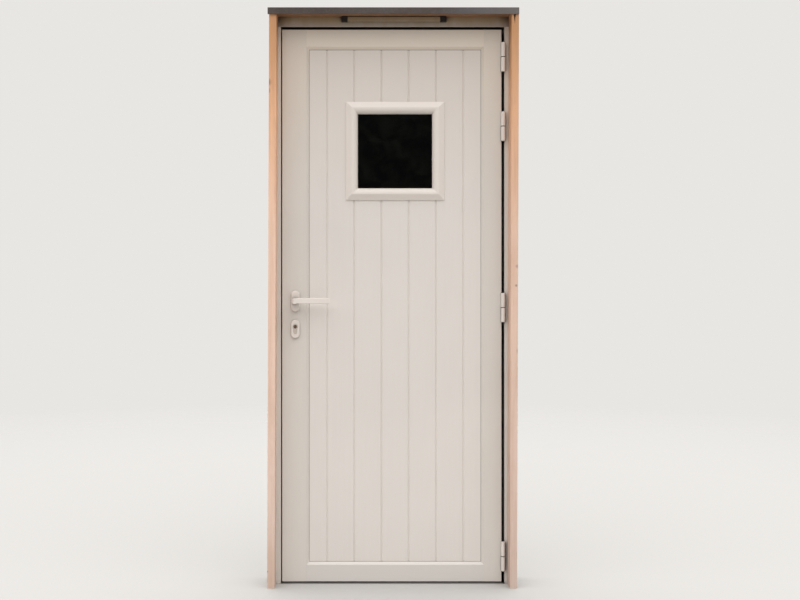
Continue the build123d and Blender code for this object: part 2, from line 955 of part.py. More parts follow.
def follower():
    """The hub that the spindle turns, with the arm that draws the latch."""
    inner = case_thickness - 2 * case_wall - 2 * follower_side_play
    hub_y = about(middle_y, inner)
    hub = rod_y(follower_r, spindle_x, hub_y, spindle_z)
    arm = block(about(spindle_x, follower_arm_width), hub_y, (spindle_z, spindle_z + follower_arm_reach))
    bosses = rod_y(follower_boss_r, spindle_x, about(middle_y, case_thickness), spindle_z)
    return hub + arm + bosses - spindle_square(about(middle_y, case_thickness))


def spindle_square(y):
    return block(about(spindle_x, square_side), y, about(spindle_z, square_side))


def latch_bolt():
    """The sprung latch: a head bevelled on its inner side, a tail and a drop that the arm pulls."""
    x = (leaf_left - latch_reach, leaf_left - latch_reach + latch_head_length)
    y = about(middle_y, latch_thickness)
    head = block(x, y, about(latch_z, latch_height))
    slope = [(x[0], y[1] - latch_bevel), (x[0], y[1]), (x[0] + latch_reach, y[1])]
    head -= prism_z(slope, about(latch_z, latch_height))
    drop_x = spindle_x + follower_arm_width / 2 + latch_drive_gap
    tail_end = drop_x + latch_tail_width
    tail_y = about(middle_y, latch_tail_thickness)
    tail = block((x[1], tail_end), tail_y, about(latch_z, latch_tail_height))
    drop_low = spindle_z + follower_r + latch_drop_clear
    drop = block((drop_x, tail_end), tail_y, (drop_low, latch_z))
    return head + tail + drop


def deadbolt():
    """The square bolt, shown drawn back, with rounded front edges."""
    x = (leaf_left + bolt_recess, leaf_left + bolt_recess + bolt_length)
    bolt = block(x, about(middle_y, bolt_thickness), about(bolt_z, bolt_height))
    front = bolt.faces().sort_by(Axis.X)[0].edges().filter_by(Axis.Z)
    return chamfer(front, bolt_chamfer)


def lock_mortise():
    """What the lock stile loses to the case, the faceplate, the spindle and the cylinder."""
    strip = Pos(middle_y, lock_middle) * SlotOverall(faceplate_length, faceplate_width, rotation=90)
    cut = extrude(Plane.YZ.offset(leaf_left) * strip, faceplate_thickness)
    cut += block(
        (leaf_left, leaf_left + case_depth + case_play),
        about(middle_y, case_thickness + 2 * case_play),
        (case_z[0] - case_play, case_z[1] + case_play),
    )
    cut += rod_y(spindle_hole_r, spindle_x, (0, leaf_thickness), spindle_z)
    cut += cylinder_profile(cylinder_hole_play, (0, leaf_thickness))
    for piece in faceplate_screws():
        cut += piece
    return cut


# Levers and roses

def rose(height, centre_z):
    """A stadium cover with a bevelled front edge."""
    piece = stadium_y(rose_width, height, spindle_x, (-rose_thickness, 0), centre_z)
    return chamfer(piece.edges().group_by(Axis.Y)[0], rose_chamfer)


def outer_rose():
    bore = rod_y(lever_neck_r + running, spindle_x, (-rose_thickness, 0), spindle_z)
    return rose(rose_height, spindle_z) - bore


def outer_escutcheon():
    cut = cylinder_profile(cylinder_hole_play / 2, (-rose_thickness, 0))
    return rose(escutcheon_height, cylinder_z - escutcheon_drop) - cut


def lever():
    """A straight lever on a round neck: a soft-edged bar crossed with its front view and its plan view."""
    plate_side = -lever_leaf_gap
    top = lever_neck_r
    low = top - lever_bar_height
    bar_back = -lever_projection + lever_bar_thickness
    bar_view = outline([(0, top), (lever_reach - lever_end_slant, top), (lever_reach, low), (0, low)])
    bar_view = fillet(bar_view.vertices().sort_by(Axis.X)[-2:], lever_end_round)
    section = RectangleRounded(lever_bar_thickness, lever_bar_height, lever_edge_round)
    section = Pos((bar_back - lever_projection) / 2, (top + low) / 2) * section
    bar = extrude(Plane.YZ * section, lever_reach)
    bar &= extrude(Plane.XZ.offset(-bar_back) * bar_view, lever_bar_thickness)
    neck = rod_y(lever_neck_r, 0, (-lever_projection, plate_side), 0)
    plan = outline([
        (-lever_neck_r, plate_side),
        (-lever_neck_r, -lever_projection),
        (lever_reach, -lever_projection),
        (lever_reach, plate_side),
    ])
    corner = plan.vertices().sort_by_distance((-lever_neck_r, -lever_projection))[0]
    plan = fillet(corner, lever_corner_outer)
    crossed = (bar + neck) & extrude(Plane.XY.offset(-lever_neck_r) * plan, 2 * lever_neck_r)
    return Pos(spindle_x, 0, spindle_z) * crossed


def outer_lever():
    bar = lever()
    socket = (-lever_leaf_gap - lever_socket_depth, -lever_leaf_gap)
    return bar - spindle_square(socket)


# Strike plate

strike_z = spindle_z + (latch_rise - bolt_drop) / 2


def strike_screws():
    places = about(strike_z, strike_length - 2 * strike_screw_inset)
    return [screw_left(lock_screw_length, opening_left, middle_y, z) for z in places]


def strike_openings(depth):
    """Where the latch and the bolt enter the jamb."""
    return bolt_window((opening_left - depth, opening_left), strike_play)


def strike_blank():
    blank = Pos(middle_y, strike_z) * RectangleRounded(strike_width, strike_length, strike_round)
    return extrude(Plane.YZ.offset(opening_left - strike_thickness) * blank, strike_thickness)


def strike_plate():
    plate = strike_blank() - strike_openings(strike_thickness)
    for piece in strike_screws():
        plate -= piece
    return plate


def strike_mortise():
    cut = strike_blank() + strike_openings(bolt_travel - gap_lock + pocket_extra)
    for piece in strike_screws():
        cut += piece
    return cut


# All the pieces

leaf_hinge_screws = [piece for z in hinge_heights for piece in hinge_screws(-1, z)]
frame_hinge_screws = [piece for z in hinge_heights for piece in hinge_screws(1, z)]


def lock_stile():
    piece = stile(leaf_left, face_left, panel_left)
    return piece - bottom_tenons - top_tenons - lock_mortise() - cylinder_screw()


def hinge_stile():
    piece = stile(leaf_right, face_right, panel_right) - bottom_tenons - top_tenons
    for z in hinge_heights:
        piece -= hinge_recess(-1, z)
    for cut in leaf_hinge_screws:
        piece -= cut
    return piece


def jamb_hinge_side():
    piece = jamb(1)
    for z in hinge_heights:
        piece -= hinge_recess(1, z)
    for cut in frame_hinge_screws:
        piece -= cut
    return piece


def insulation_core():
    block_y = (core_front, leaf_thickness - core_front)
    x = (groove_left + panel_play, groove_right - panel_play)
    z = (groove_bottom + panel_play, groove_top - panel_play)
    return block(x, block_y, z) - window_cut


def glass_panes():
    x = about(window_x, 2 * glass_half)
    z = about(window_z, 2 * glass_half)
    front = block(x, (glass_front, glass_front + pane_thickness), z)
    return group([front, indoors(front)])


def glazing_tape():
    front = window_ring(glass_half, glass_half - tape_width, (tape_front, glass_front))
    return group([front, indoors(front)])


def glass_spacer():
    outer = glass_half - spacer_inset
    return window_ring(outer, outer - spacer_width, about(middle_y, glass_cavity))


def build():
    """Every node by name."""
    boards = [board(i, left, right) - window_cut for i, (left, right) in enumerate(board_edges())]
    parts = {f"outer_board_{i + 1}": piece for i, piece in enumerate(boards)}
    spindle_end = lever_leaf_gap + lever_socket_depth
    parts |= {
        "inner_boards": group([indoors(piece) for piece in boards]),
        "lock_stile": lock_stile(),
        "hinge_stile": hinge_stile(),
        "top_rail": rail(leaf_top, face_top, panel_top) + top_tenons,
        "bottom_rail": rail(leaf_bottom, face_bottom, panel_bottom) + bottom_tenons,
        "insulation_core": insulation_core(),
        "window_liner": window_liner(),
        "glass_panes": glass_panes(),
        "glass_spacer": glass_spacer(),
        "glazing_tape": glazing_tape(),
        "glazing_packers": glazing_packers(),
        "outer_beads": outer_beads(),
        "inner_beads": indoors(outer_beads()),
        "hinge_leaf_halves": group([hinge_half(-1, z) for z in hinge_heights]),
        "hinge_frame_halves": group([hinge_half(1, z) for z in hinge_heights]),
        "hinge_pins": group([hinge_pin(z) for z in hinge_heights]),
        "hinge_washers": group([hinge_washer(z) for z in hinge_heights]),
        "leaf_screws": group(leaf_hinge_screws + faceplate_screws()),
        "frame_screws": group(frame_hinge_screws + strike_screws()),
        "jamb_lock_side": jamb(-1) - strike_mortise(),
        "jamb_hinge_side": jamb_hinge_side(),
        "frame_head": frame_head(),
        "frame_seal": frame_seal(),
        "threshold": threshold(),
        "threshold_seal": threshold_seal(),
        "trim_left": trim(frame_left, frame_left + trim_thickness, trim_left_shift),
        "trim_right": trim(frame_right, frame_right - trim_thickness, trim_right_shift) - trim_split(),
        "trim_head": trim_head(),
        "head_flashing": head_flashing(),
        "vent_canopy": vent_canopy(),
        "vent_end_caps": vent_end_caps(),
        "vent_body": vent_body(),
        "vent_flap": vent_flap(),
        "strike_plate": strike_plate(),
        "lock_faceplate": lock_faceplate(),
        "lock_case": lock_case(),
        "cylinder_body": cylinder_body(),
        "cylinder_plug": cylinder_plug(),
        "cylinder_screw": cylinder_screw(),
        "latch_bolt": latch_bolt(),
        "deadbolt": deadbolt(),
        "follower": follower(),
        "spindle": spindle_square((-spindle_end, leaf_thickness + spindle_end)),
        "outer_rose": outer_rose(),
        "inner_rose": indoors(outer_rose()),
        "outer_escutcheon": outer_escutcheon(),
        "inner_escutcheon": indoors(outer_escutcheon()),
        "outer_lever": outer_lever(),
        "inner_lever": indoors(outer_lever()),
    }
    return parts


os.makedirs("parts", exist_ok=True)
for name, shape in build().items():
    export_step(shape, f"parts/{name}.step")
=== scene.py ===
import json
import math

import bmesh
import bpy
from mathutils import Matrix, Vector


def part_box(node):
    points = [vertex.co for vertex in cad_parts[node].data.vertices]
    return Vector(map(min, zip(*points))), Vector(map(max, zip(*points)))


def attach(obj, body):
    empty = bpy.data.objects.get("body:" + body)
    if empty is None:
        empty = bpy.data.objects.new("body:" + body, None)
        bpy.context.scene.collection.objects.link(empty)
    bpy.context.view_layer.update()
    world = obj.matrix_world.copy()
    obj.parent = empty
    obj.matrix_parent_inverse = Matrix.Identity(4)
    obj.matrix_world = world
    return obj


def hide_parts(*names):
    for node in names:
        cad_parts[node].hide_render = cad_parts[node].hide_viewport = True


# The finish of a boarded external door in its painted frame, with oak boards beside it and a
# folded flashing over its head. Metres, in the frame's own axes: +X right seen from outside,
# +Y indoors, +Z up.

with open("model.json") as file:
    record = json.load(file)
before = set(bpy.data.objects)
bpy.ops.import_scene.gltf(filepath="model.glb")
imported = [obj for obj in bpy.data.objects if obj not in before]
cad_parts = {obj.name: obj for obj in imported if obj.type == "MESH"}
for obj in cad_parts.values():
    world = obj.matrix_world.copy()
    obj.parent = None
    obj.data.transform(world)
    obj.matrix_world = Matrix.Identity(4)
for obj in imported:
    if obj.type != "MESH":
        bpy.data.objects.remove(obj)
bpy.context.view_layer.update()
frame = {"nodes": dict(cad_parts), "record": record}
nodes = frame["nodes"]
slot_of = {part["node"]: part["material_slot"] for part in frame["record"]["subparts"]}
quarter_turn = math.radians(90)


# Places on the door

lock_stile_face = 0.0875
hinge_stile_face = 0.0635
bottom_rail_face = 0.060
top_rail_face = 0.061
panel_bevel = 0.010
panel_x = (
    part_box("lock_stile")[0][0] + lock_stile_face + panel_bevel,
    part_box("hinge_stile")[1][0] - hinge_stile_face - panel_bevel,
)
panel_z = (
    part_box("bottom_rail")[0][2] + bottom_rail_face + panel_bevel,
    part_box("top_rail")[1][2] - top_rail_face - panel_bevel,
)
jamb_tenon = 0.025
head_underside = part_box("jamb_lock_side")[1][2] - jamb_tenon
frame_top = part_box("frame_head")[1][2]
left_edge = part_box("trim_left")[0][0]
right_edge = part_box("trim_right")[1][0]
trim_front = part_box("trim_left")[0][1]

# Painted shade under the flashing grows from the lower height to the upper; outdoors ends between
# the depths

painted_top_shading_heights = (1.40, 1.92)
indoor_depths = (0.020, 0.035)


# Camera

photo_width = 800
frame_middle = 392.7
metres_per_pixel = 0.0036
camera_x = -0.130
camera_height = 1.020
camera_distance = 3.7
sensor_width = 36.0


def keep(thing):
    """Puts a new object into the scene."""
    bpy.context.scene.collection.objects.link(thing)
    return thing


def add_camera():
    """A level camera, shifted sideways as the photograph is framed."""
    view_width = photo_width * metres_per_pixel
    view_middle = (photo_width / 2 - frame_middle) * metres_per_pixel
    lens = bpy.data.cameras.new("camera")
    lens.sensor_width = sensor_width
    lens.lens = sensor_width * camera_distance / view_width
    lens.shift_x = (view_middle - camera_x) / view_width
    camera = keep(bpy.data.objects.new("camera", lens))
    camera.location = (camera_x, -camera_distance, camera_height)
    camera.rotation_euler = (quarter_turn, 0, 0)
    bpy.context.scene.camera = camera


# Colours and shader nodes

def screen(red, green, blue):
    """A screen colour, 0 to 255, as the linear values that Blender works in."""
    values = []
    for level in (red, green, blue):
        share = level / 255
        values.append(share / 12.92 if share <= 0.04045 else ((share + 0.055) / 1.055) ** 2.4)
    return (*values, 1.0)


def tinted(colour, factors):
    """The colour with its red, green and blue each scaled."""
    return (*[min(1.0, channel * factor) for channel, factor in zip(colour, factors)], 1.0)


def shade(colour, factor):
    """The same colour, lighter or darker."""
    return tinted(colour, (factor, factor, factor))


# Stretches of a noise: a small number draws it out along that axis

along_x = (0.03, 1, 1)
along_z = (1, 1, 0.03)
brushed_y = (1, 0.1, 1)
brushed_z = (1, 1, 0.1)
drawn_x = (0.02, 1, 1)

noise_span = (0.3, 0.7)
# Painted shade: the colour that gaps, open joints and close corners are darkened to
painted_shade_colour = screen(60, 44, 35)
gap_reach = 0.03
gap_fade = (0.08, 0.34)
gap_samples = 8
joint_fade = (0.00042, 0.00078)

# A Mix node's colour sockets, by number: their names are shared with its other sockets

mix_first, mix_second, mix_result = 6, 7, 2


class Nodes:
    """A shader node tree, with short calls that add its nodes."""

    def __init__(self, data):
        data.use_nodes = True
        self.data = data
        self.tree = data.node_tree

    def node(self, kind, inputs=(), **settings):
        """Adds a node; inputs is a list of (socket, value or output)."""
        node = self.tree.nodes.new(kind)
        for name, value in settings.items():
            setattr(node, name, value)
        for socket, value in inputs:
            if isinstance(value, bpy.types.NodeSocket):
                self.tree.links.new(value, node.inputs[socket])
            else:
                node.inputs[socket].default_value = value
        return node

    def maths(self, operation, first, second=0.0):
        inputs = [(0, first), (1, second)]
        return self.node("ShaderNodeMath", inputs, operation=operation).outputs["Value"]

    def measure(self, operation, first, second=(0.0, 0.0, 0.0)):
        """A calculation with vectors that gives one number."""
        inputs = [(0, first), (1, second)]
        return self.node("ShaderNodeVectorMath", inputs, operation=operation).outputs["Value"]

    def along(self, vector, axis):
        """How far a vector reaches along X, Y or Z."""
        return self.node("ShaderNodeSeparateXYZ", [("Vector", vector)]).outputs[axis]

    def between(self, value, low, high, new_low=0.0, new_high=1.0):
        """The value's way from low to high, as a number from new_low to new_high."""
        inputs = [
            ("Value", value),
            ("From Min", low),
            ("From Max", high),
            ("To Min", new_low),
            ("To Max", new_high),
        ]
        return self.node("ShaderNodeMapRange", inputs).outputs["Result"]

    def falling(self, value, low, high):
        """1 up to low, falling to 0 at high."""
        return self.between(value, low, high, 1.0, 0.0)

    def spread(self, noise, low, high):
        """A noise whose usual span is drawn out from low to high."""
        return self.between(noise, *noise_span, low, high)

    def ramp(self, value, stops):
        """Colours along a value; stops is a list of (position, colour)."""
        node = self.node("ShaderNodeValToRGB", [("Fac", value)])
        elements = node.color_ramp.elements
        while len(elements) < len(stops):
            elements.new(0.5)
        for element, (position, colour) in zip(elements, stops):
            element.position = position
            element.color = colour
        return node.outputs["Color"]

    def shaded(self, noise, colour, darkest, lightest):
        """The colour, darker where a noise is low and lighter where it is high."""
        low, high = noise_span
        return self.ramp(noise, [(low, shade(colour, darkest)), (high, shade(colour, lightest))])

    def mixed(self, factor, first, second):
        """The first colour, turning into the second as the factor goes from 0 to 1."""
        inputs = [("Factor", factor), (mix_first, first), (mix_second, second)]
        return self.node("ShaderNodeMix", inputs, data_type="RGBA").outputs[mix_result]

    def flecked(self, base, value, span, most, colour):
        """The base, with up to `most` of the colour over it as a value goes through a span."""
        return self.mixed(self.between(value, *span, 0.0, most), base, colour)


class Material(Nodes):
    """A procedural material round one Principled shader, drawn in the frame's own axes."""

    def __init__(self, name, **shader):
        super().__init__(bpy.data.materials.new(name))
        self.shader = self.tree.nodes["Principled BSDF"]
        for socket, value in shader.items():
            self.shader.inputs[socket.replace("_", " ")].default_value = value
        self.place = self.node("ShaderNodeTexCoord").outputs["Object"]

    def set(self, socket, output):
        self.tree.links.new(output, self.shader.inputs[socket])

    def axis(self, name):
        return self.along(self.place, name)

    def noise(self, scale, detail, stretch=(1, 1, 1), roughness=0.5, distortion=0.0):
        """A noise of about `scale` features a metre."""
        mapping = self.node("ShaderNodeMapping", [("Vector", self.place), ("Scale", stretch)])
        inputs = [
            ("Vector", mapping.outputs["Vector"]),
            ("Scale", scale),
            ("Detail", detail),
            ("Roughness", roughness),
            ("Distortion", distortion),
        ]
        return self.node("ShaderNodeTexNoise", inputs).outputs["Fac"]

    def bump(self, height, distance, strength=1.0, under=None):
        inputs = [("Height", height), ("Distance", distance), ("Strength", strength)]
        if under is not None:
            inputs.append(("Normal", under))
        return self.node("ShaderNodeBump", inputs).outputs["Normal"]

    def with_painted_gap_shade(self, colour, reach=gap_reach, fade=gap_fade):
        """The colour with painted shade: darkened where other surfaces stand close in front of it.
        """
        inputs = [("Distance", reach)]
        occlusion = self.node("ShaderNodeAmbientOcclusion", inputs, samples=gap_samples)
        return self.mixed(self.between(occlusion.outputs["AO"], *fade), painted_shade_colour, colour)

    def joint_shade_mask(self):
        """1 along the open joint between the boards and the bevels round them, where painted shade
        goes.
        """
        past = []
        for name, (low, high) in (("X", panel_x), ("Z", panel_z)):
            offset = self.maths("SUBTRACT", self.axis(name), (low + high) / 2)
            past.append(self.maths("SUBTRACT", self.maths("ABSOLUTE", offset), (high - low) / 2))
        distance = self.maths("ABSOLUTE", self.maths("MAXIMUM", *past))
        return self.falling(distance, *joint_fade)


# Materials. Tones are colours along a height or a noise, each with its place from 0 to 1.

board_colour = screen(217, 210, 203)
timber_colour = screen(209, 202, 194)
painted_grain_height = 0.00009

# Painted shade on the head: brown and darker from its underside up to its top
head_shade_tones = [
    (0.0, screen(182, 170, 160)),
    (0.45, screen(158, 139, 112)),
    (1.0, screen(140, 112, 72)),
]
head_shade_streak_colour = screen(120, 96, 70)
upward_faces = (0.5, 0.8)

oak_tones = [
    (0.0, screen(206, 184, 171)),
    (0.20, screen(222, 195, 180)),
    (0.60, screen(230, 195, 173)),
    (0.82, screen(236, 184, 145)),
    (0.97, screen(197, 145, 100)),
]
ring_colour = screen(176, 130, 98)
blotch_colour = screen(170, 122, 86)
pore_colour = screen(120, 84, 60)
stain_colour = screen(70, 44, 28)
stain_core = 0.3

softwood_tones = [(0.0, screen(216, 180, 132)), (1.0, screen(190, 142, 92))]

sheet_tones = [
    (0.30, screen(62, 52, 47)),
    (0.50, screen(75, 65, 60)),
    (0.70, screen(87, 83, 85)),
]
sheet_pale_end_colour = screen(136, 130, 124)
sheet_speckle_colour = screen(120, 112, 106)
paler_end = (0.25, 0.45)

hardware_colour = screen(222, 213, 205)

glass_tones = [(0.42, screen(1, 1, 1)), (0.70, screen(13, 14, 10))]
glass_dust_colour = screen(24, 24, 22)


def painted_grain(made, stretch):
    """The timber's grain, as it shows through paint."""
    return made.noise(scale=260.0, detail=5.0, stretch=stretch, roughness=0.6)


def paint(name, colour, grain, roughness=0.42, painted_top_shading=(1.0, 1.0, 1.0)):
    """Sprayed satin paint over timber, with the faintest grain along the piece.

    Outdoors towards the top its red, green and blue are scaled: painted shade under the flashing,
    and painted warm light where a scale is above 1. The open joint round the boards and the gaps
    get painted shade.
    """
    made = Material(name, IOR=1.5)
    broad = made.noise(scale=2.2, detail=3.0)
    streaks = painted_grain(made, grain)
    orange_peel = made.noise(scale=900.0, detail=2.0)
    tone = made.maths("ADD", made.spread(broad, 0.0, 2 / 3), made.spread(streaks, 0.0, 1 / 3))
    base = made.ramp(tone, [(0.0, shade(colour, 0.965)), (1.0, shade(colour, 1.03))])
    # Painted shade under the flashing, outdoors and towards the top
    height = made.between(made.axis("Z"), *painted_top_shading_heights)
    outdoors = made.falling(made.axis("Y"), *indoor_depths)
    top_shading_mask = made.maths("MULTIPLY", height, outdoors)
    top_shading_masked = made.mixed(top_shading_mask, base, tinted(colour, painted_top_shading))
    # Painted shade along the open joint round the boards and in the gaps
    made.set("Base Color", made.with_painted_gap_shade(made.mixed(made.joint_shade_mask(), top_shading_masked, painted_shade_colour)))
    made.set("Roughness", made.spread(broad, roughness - 0.04, roughness + 0.05))
    grain_bump = made.bump(streaks, painted_grain_height)
    made.set("Normal", made.bump(orange_peel, 0.00004, under=grain_bump))
    return made.data


def head_shade_finish():
    """The head's paint: painted shade, browner and darker up to the top outdoors and on its top
    face; plain indoors.
    """
    made = Material("painted_head", IOR=1.5, Roughness=0.45)
    streaks = painted_grain(made, along_x)
    drips = made.noise(scale=26.0, detail=4.0, stretch=(1, 1, 0.2))
    height = made.between(made.axis("Z"), head_underside, frame_top)
    tone = made.ramp(made.maths("ADD", height, made.spread(drips, -0.12, 0.12)), head_shade_tones)
    shade_toned = made.flecked(tone, streaks, noise_span, 0.08, head_shade_streak_colour)
    normal = made.node("ShaderNodeNewGeometry").outputs["Normal"]
    upright = made.falling(made.along(normal, "Z"), *upward_faces)
    plain_indoors = made.maths("MULTIPLY", made.between(made.axis("Y"), *indoor_depths), upright)
    colour = made.mixed(plain_indoors, shade_toned, timber_colour)
    # Strong painted shade deep in the gap over the leaf
    made.set("Base Color", made.with_painted_gap_shade(colour, reach=0.06, fade=(0.25, 0.55)))
    made.set("Normal", made.bump(streaks, painted_grain_height))
    return made.data


def oak(name, lightness_and_shade, stains=()):
    """Planed oak: orange towards the top and darkest at the very top, paler and pinker lower down.

    Each stain is its centre, its radius and its strength.
    """
    made = Material(name, IOR=1.45)
    rings = made.noise(
        scale=34.0, detail=6.0, stretch=(1, 1, 0.035), roughness=0.62, distortion=0.35
    )
    pores = made.noise(scale=620.0, detail=3.0, stretch=(1, 1, 0.02), roughness=0.7)
    blotches = made.noise(scale=5.0, detail=4.0, stretch=(2.2, 2.2, 1))
    height = made.between(made.axis("Z"), 0.0, frame_top)
    colour = made.ramp(height, [(place, shade(tone, lightness_and_shade)) for place, tone in oak_tones])
    colour = made.flecked(colour, rings, (0.42, 0.72), 0.46, ring_colour)
    colour = made.flecked(colour, blotches, (0.50, 0.75), 0.22, blotch_colour)
    for centre, radius, strength in stains:
        away = made.measure("DISTANCE", made.place, centre)
        mark = made.maths("MULTIPLY", made.falling(away, radius * stain_core, radius), strength)
        colour = made.mixed(mark, colour, stain_colour)
    made.set("Base Color", made.flecked(colour, pores, (0.60, 0.75), 0.35, pore_colour))
    made.set("Roughness", made.spread(rings, 0.62, 0.78))
    fibres = made.bump(pores, 0.00025)
    made.set("Normal", made.bump(rings, 0.0006, strength=0.6, under=fibres))
    return made.data


def softwood():
    """Planed redwood with growth rings, left unpainted."""
    made = Material("softwood", IOR=1.45)
    rings = made.noise(scale=60.0, detail=5.0, stretch=(1, 1, 0.03), distortion=0.4)
    made.set("Base Color", made.ramp(made.spread(rings, 0.0, 1.0), softwood_tones))
    made.set("Roughness", made.spread(rings, 0.55, 0.7))
    made.set("Normal", made.bump(rings, 0.0003))
    return made.data


def lead_grey_sheet():
    """Dark folded sheet with a matt, mottled coat, bluer in its clouds and paler to the right."""
    made = Material("lead_grey_sheet", IOR=1.45)
    clouds = made.noise(scale=9.0, detail=6.0, stretch=(0.5, 1, 1), roughness=0.6)
    speckle = made.noise(scale=240.0, detail=3.0)
    base = made.ramp(clouds, sheet_tones)
    paled = made.flecked(base, made.axis("X"), paler_end, 0.35, sheet_pale_end_colour)
    made.set("Base Color", made.flecked(paled, speckle, (0.5, 0.8), 0.3, sheet_speckle_colour))
    made.set("Roughness", made.spread(clouds, 0.5, 0.68))
    made.set("Normal", made.bump(clouds, 0.0008, strength=0.5))
    return made.data


def hardware_paint():
    """Powder coat on the levers, roses and hinges: smooth satin with a very fine orange peel."""
    made = Material("hardware_paint", IOR=1.5)
    orange_peel = made.noise(scale=700.0, detail=2.0)
    broad = made.noise(scale=9.0, detail=2.0)
    base = made.shaded(broad, hardware_colour, 0.97, 1.02)
    # Painted shade under the lever and beside the roses and hinge knuckles
    made.set("Base Color", made.with_painted_gap_shade(base, reach=0.018, fade=(0.28, 0.95)))
    made.set("Roughness", made.spread(orange_peel, 0.30, 0.37))
    made.set("Normal", made.bump(orange_peel, 0.00005))
    return made.data


def metal(name, colour, roughness, brushed, metallic=1.0, fade=gap_fade):
    """Bare or plated metal with fine machining lines."""
    made = Material(name, Metallic=metallic)
    lines = made.noise(scale=900.0, detail=3.0, stretch=brushed)
    tone = made.noise(scale=14.0, detail=3.0)
    # Painted shade in the gaps round the metal
    made.set("Base Color", made.with_painted_gap_shade(made.shaded(tone, colour, 0.88, 1.05), fade=fade))
    made.set("Roughness", made.spread(lines, roughness - 0.06, roughness + 0.1))
    made.set("Normal", made.bump(lines, 0.00004))
    return made.data


def plastic(name, colour, roughness, grit=0.00008):
    """Moulded plastic, rubber or foam with a fine matt texture."""
    made = Material(name, IOR=1.45)
    fine = made.noise(scale=850.0, detail=3.0)
    tone = made.noise(scale=7.0, detail=2.0)
    made.set("Base Color", made.shaded(tone, colour, 0.93, 1.06))
    made.set("Roughness", made.spread(fine, roughness - 0.05, roughness + 0.06))
    made.set("Normal", made.bump(fine, grit))
    return made.data


def tinted_glass():
    """Dark insulating glass; its surface is true to within a faint ripple."""
    made = Material("tinted_glass", IOR=1.5)
    ripple = made.noise(scale=5.0, detail=1.0)
    dust = made.noise(scale=60.0, detail=4.0)
    haze = made.noise(scale=16.0, detail=3.0, distortion=0.6)
    clouded = made.ramp(haze, glass_tones)
    made.set("Base Color", made.flecked(clouded, dust, (0.6, 0.9), 0.2, glass_dust_colour))
    made.set("Roughness", made.spread(dust, 0.03, 0.07))
    made.set("Normal", made.bump(ripple, 0.0006))
    return made.data


# The bare metals' colours, as linear values

steel_colour = (0.55, 0.55, 0.54, 1.0)
nickel_colour = (0.60, 0.53, 0.45, 1.0)
brass_colour = (0.62, 0.45, 0.20, 1.0)
aluminium_colour = (0.50, 0.49, 0.47, 1.0)

left_stains = [
    ((-0.452, trim_front, 0.091), 0.006, 0.7),
    ((-0.446, trim_front, 0.060), 0.005, 0.5),
    ((left_edge, trim_front, 1.79), 0.018, 0.6),
    ((left_edge, trim_front, 1.76), 0.014, 0.5),
]
right_stains = [
    ((right_edge, trim_front, 0.84), 0.012, 0.35),
    ((right_edge - 0.010, trim_front, 1.071), 0.006, 0.55),
    ((right_edge - 0.007, trim_front, 1.139), 0.008, 0.35),
]

# The finish of each material slot, then of the nodes that have one of their own. All the nodes in
# the slots "oak" and "black_plastic" are among those.

# The boards' and the stiles' paint is scaled to painted shade under the flashing
finishes = {
    "painted_boards": paint(
        "painted_boards", board_colour, along_z, painted_top_shading=(0.93, 0.895, 0.87)
    ),
    "painted_timber": paint(
        "painted_timber", timber_colour, along_z, painted_top_shading=(1.00, 0.95, 0.89)
    ),
    "bare_softwood": softwood(),
    "lead_grey_sheet": lead_grey_sheet(),
    "painted_hardware": hardware_paint(),
    "steel": metal("steel", steel_colour, 0.34, brushed_z),
    "satin_nickel": metal("satin_nickel", nickel_colour, 0.48, brushed_y, metallic=0.35),
    "brass": metal("brass", brass_colour, 0.30, brushed_y),
    # The threshold's painted shade under the leaf is stronger
    "threshold_aluminium": metal("aluminium", aluminium_colour, 0.42, drawn_x, fade=(0.30, 0.95)),
    "black_rubber": plastic("black_rubber", screen(30, 29, 28), 0.75, grit=0.00015),
    "white_plastic": plastic("white_plastic", screen(214, 208, 198), 0.5),
    "tinted_glass": tinted_glass(),
    "foam": plastic("foam", screen(222, 214, 178), 0.85, grit=0.0006),
}
# The rails' paint gets painted warm light towards the top outdoors
across_grain = paint(
    "painted_timber_across", screen(207, 201, 195), along_x, painted_top_shading=(1.10, 1.03, 0.93)
)
head_shade_paint = head_shade_finish()
bead_paint = paint("painted_beads", screen(220, 211, 203), along_x, roughness=0.36)
own_finish = {
    # The head and the vent canopy take the head's painted shade
    "frame_head": head_shade_paint,
    "vent_canopy": head_shade_paint,
    "outer_beads": bead_paint,
    "inner_beads": bead_paint,
    "top_rail": across_grain,
    "bottom_rail": across_grain,
    "trim_left": oak("oak_left", 1.03, left_stains),
    "trim_right": oak("oak_right", 0.925, right_stains),
    # The oak board under the flashing is darkened to painted shade
    "trim_head": oak("oak_head_shaded", 0.42),
    "vent_end_caps": plastic("dark_caps", screen(26, 19, 14), 0.6),
    "hinge_washers": plastic("dark_washers", screen(58, 40, 30), 0.6),
    "cylinder_plug": metal("dark_plug", screen(112, 92, 76), 0.5, brushed_y, metallic=0.35),
}


# Edges

weld_distance = 0.00001
edge_segments = 2
bevelled_above = math.radians(32)
edge_width = {
    "frame_head": 0.0015,
    "top_rail": 0.0004,
    "bottom_rail": 0.0004,
    "trim_head": 0.0015,
    "trim_left": 0.0008,
    "trim_right": 0.0008,
    "head_flashing": 0.0007,
    "threshold": 0.0008,
    "hinge_leaf_halves": 0.0009,
    "hinge_frame_halves": 0.0009,
    "hinge_washers": 0.0003,
    "vent_canopy": 0.0004,
    "vent_end_caps": 0.0006,
    "vent_body": 0.0006,
    "vent_flap": 0.0006,
    "strike_plate": 0.0004,
    "lock_faceplate": 0.0004,
    "deadbolt": 0.0004,
    "latch_bolt": 0.0006,
    "cylinder_body": 0.0004,
}


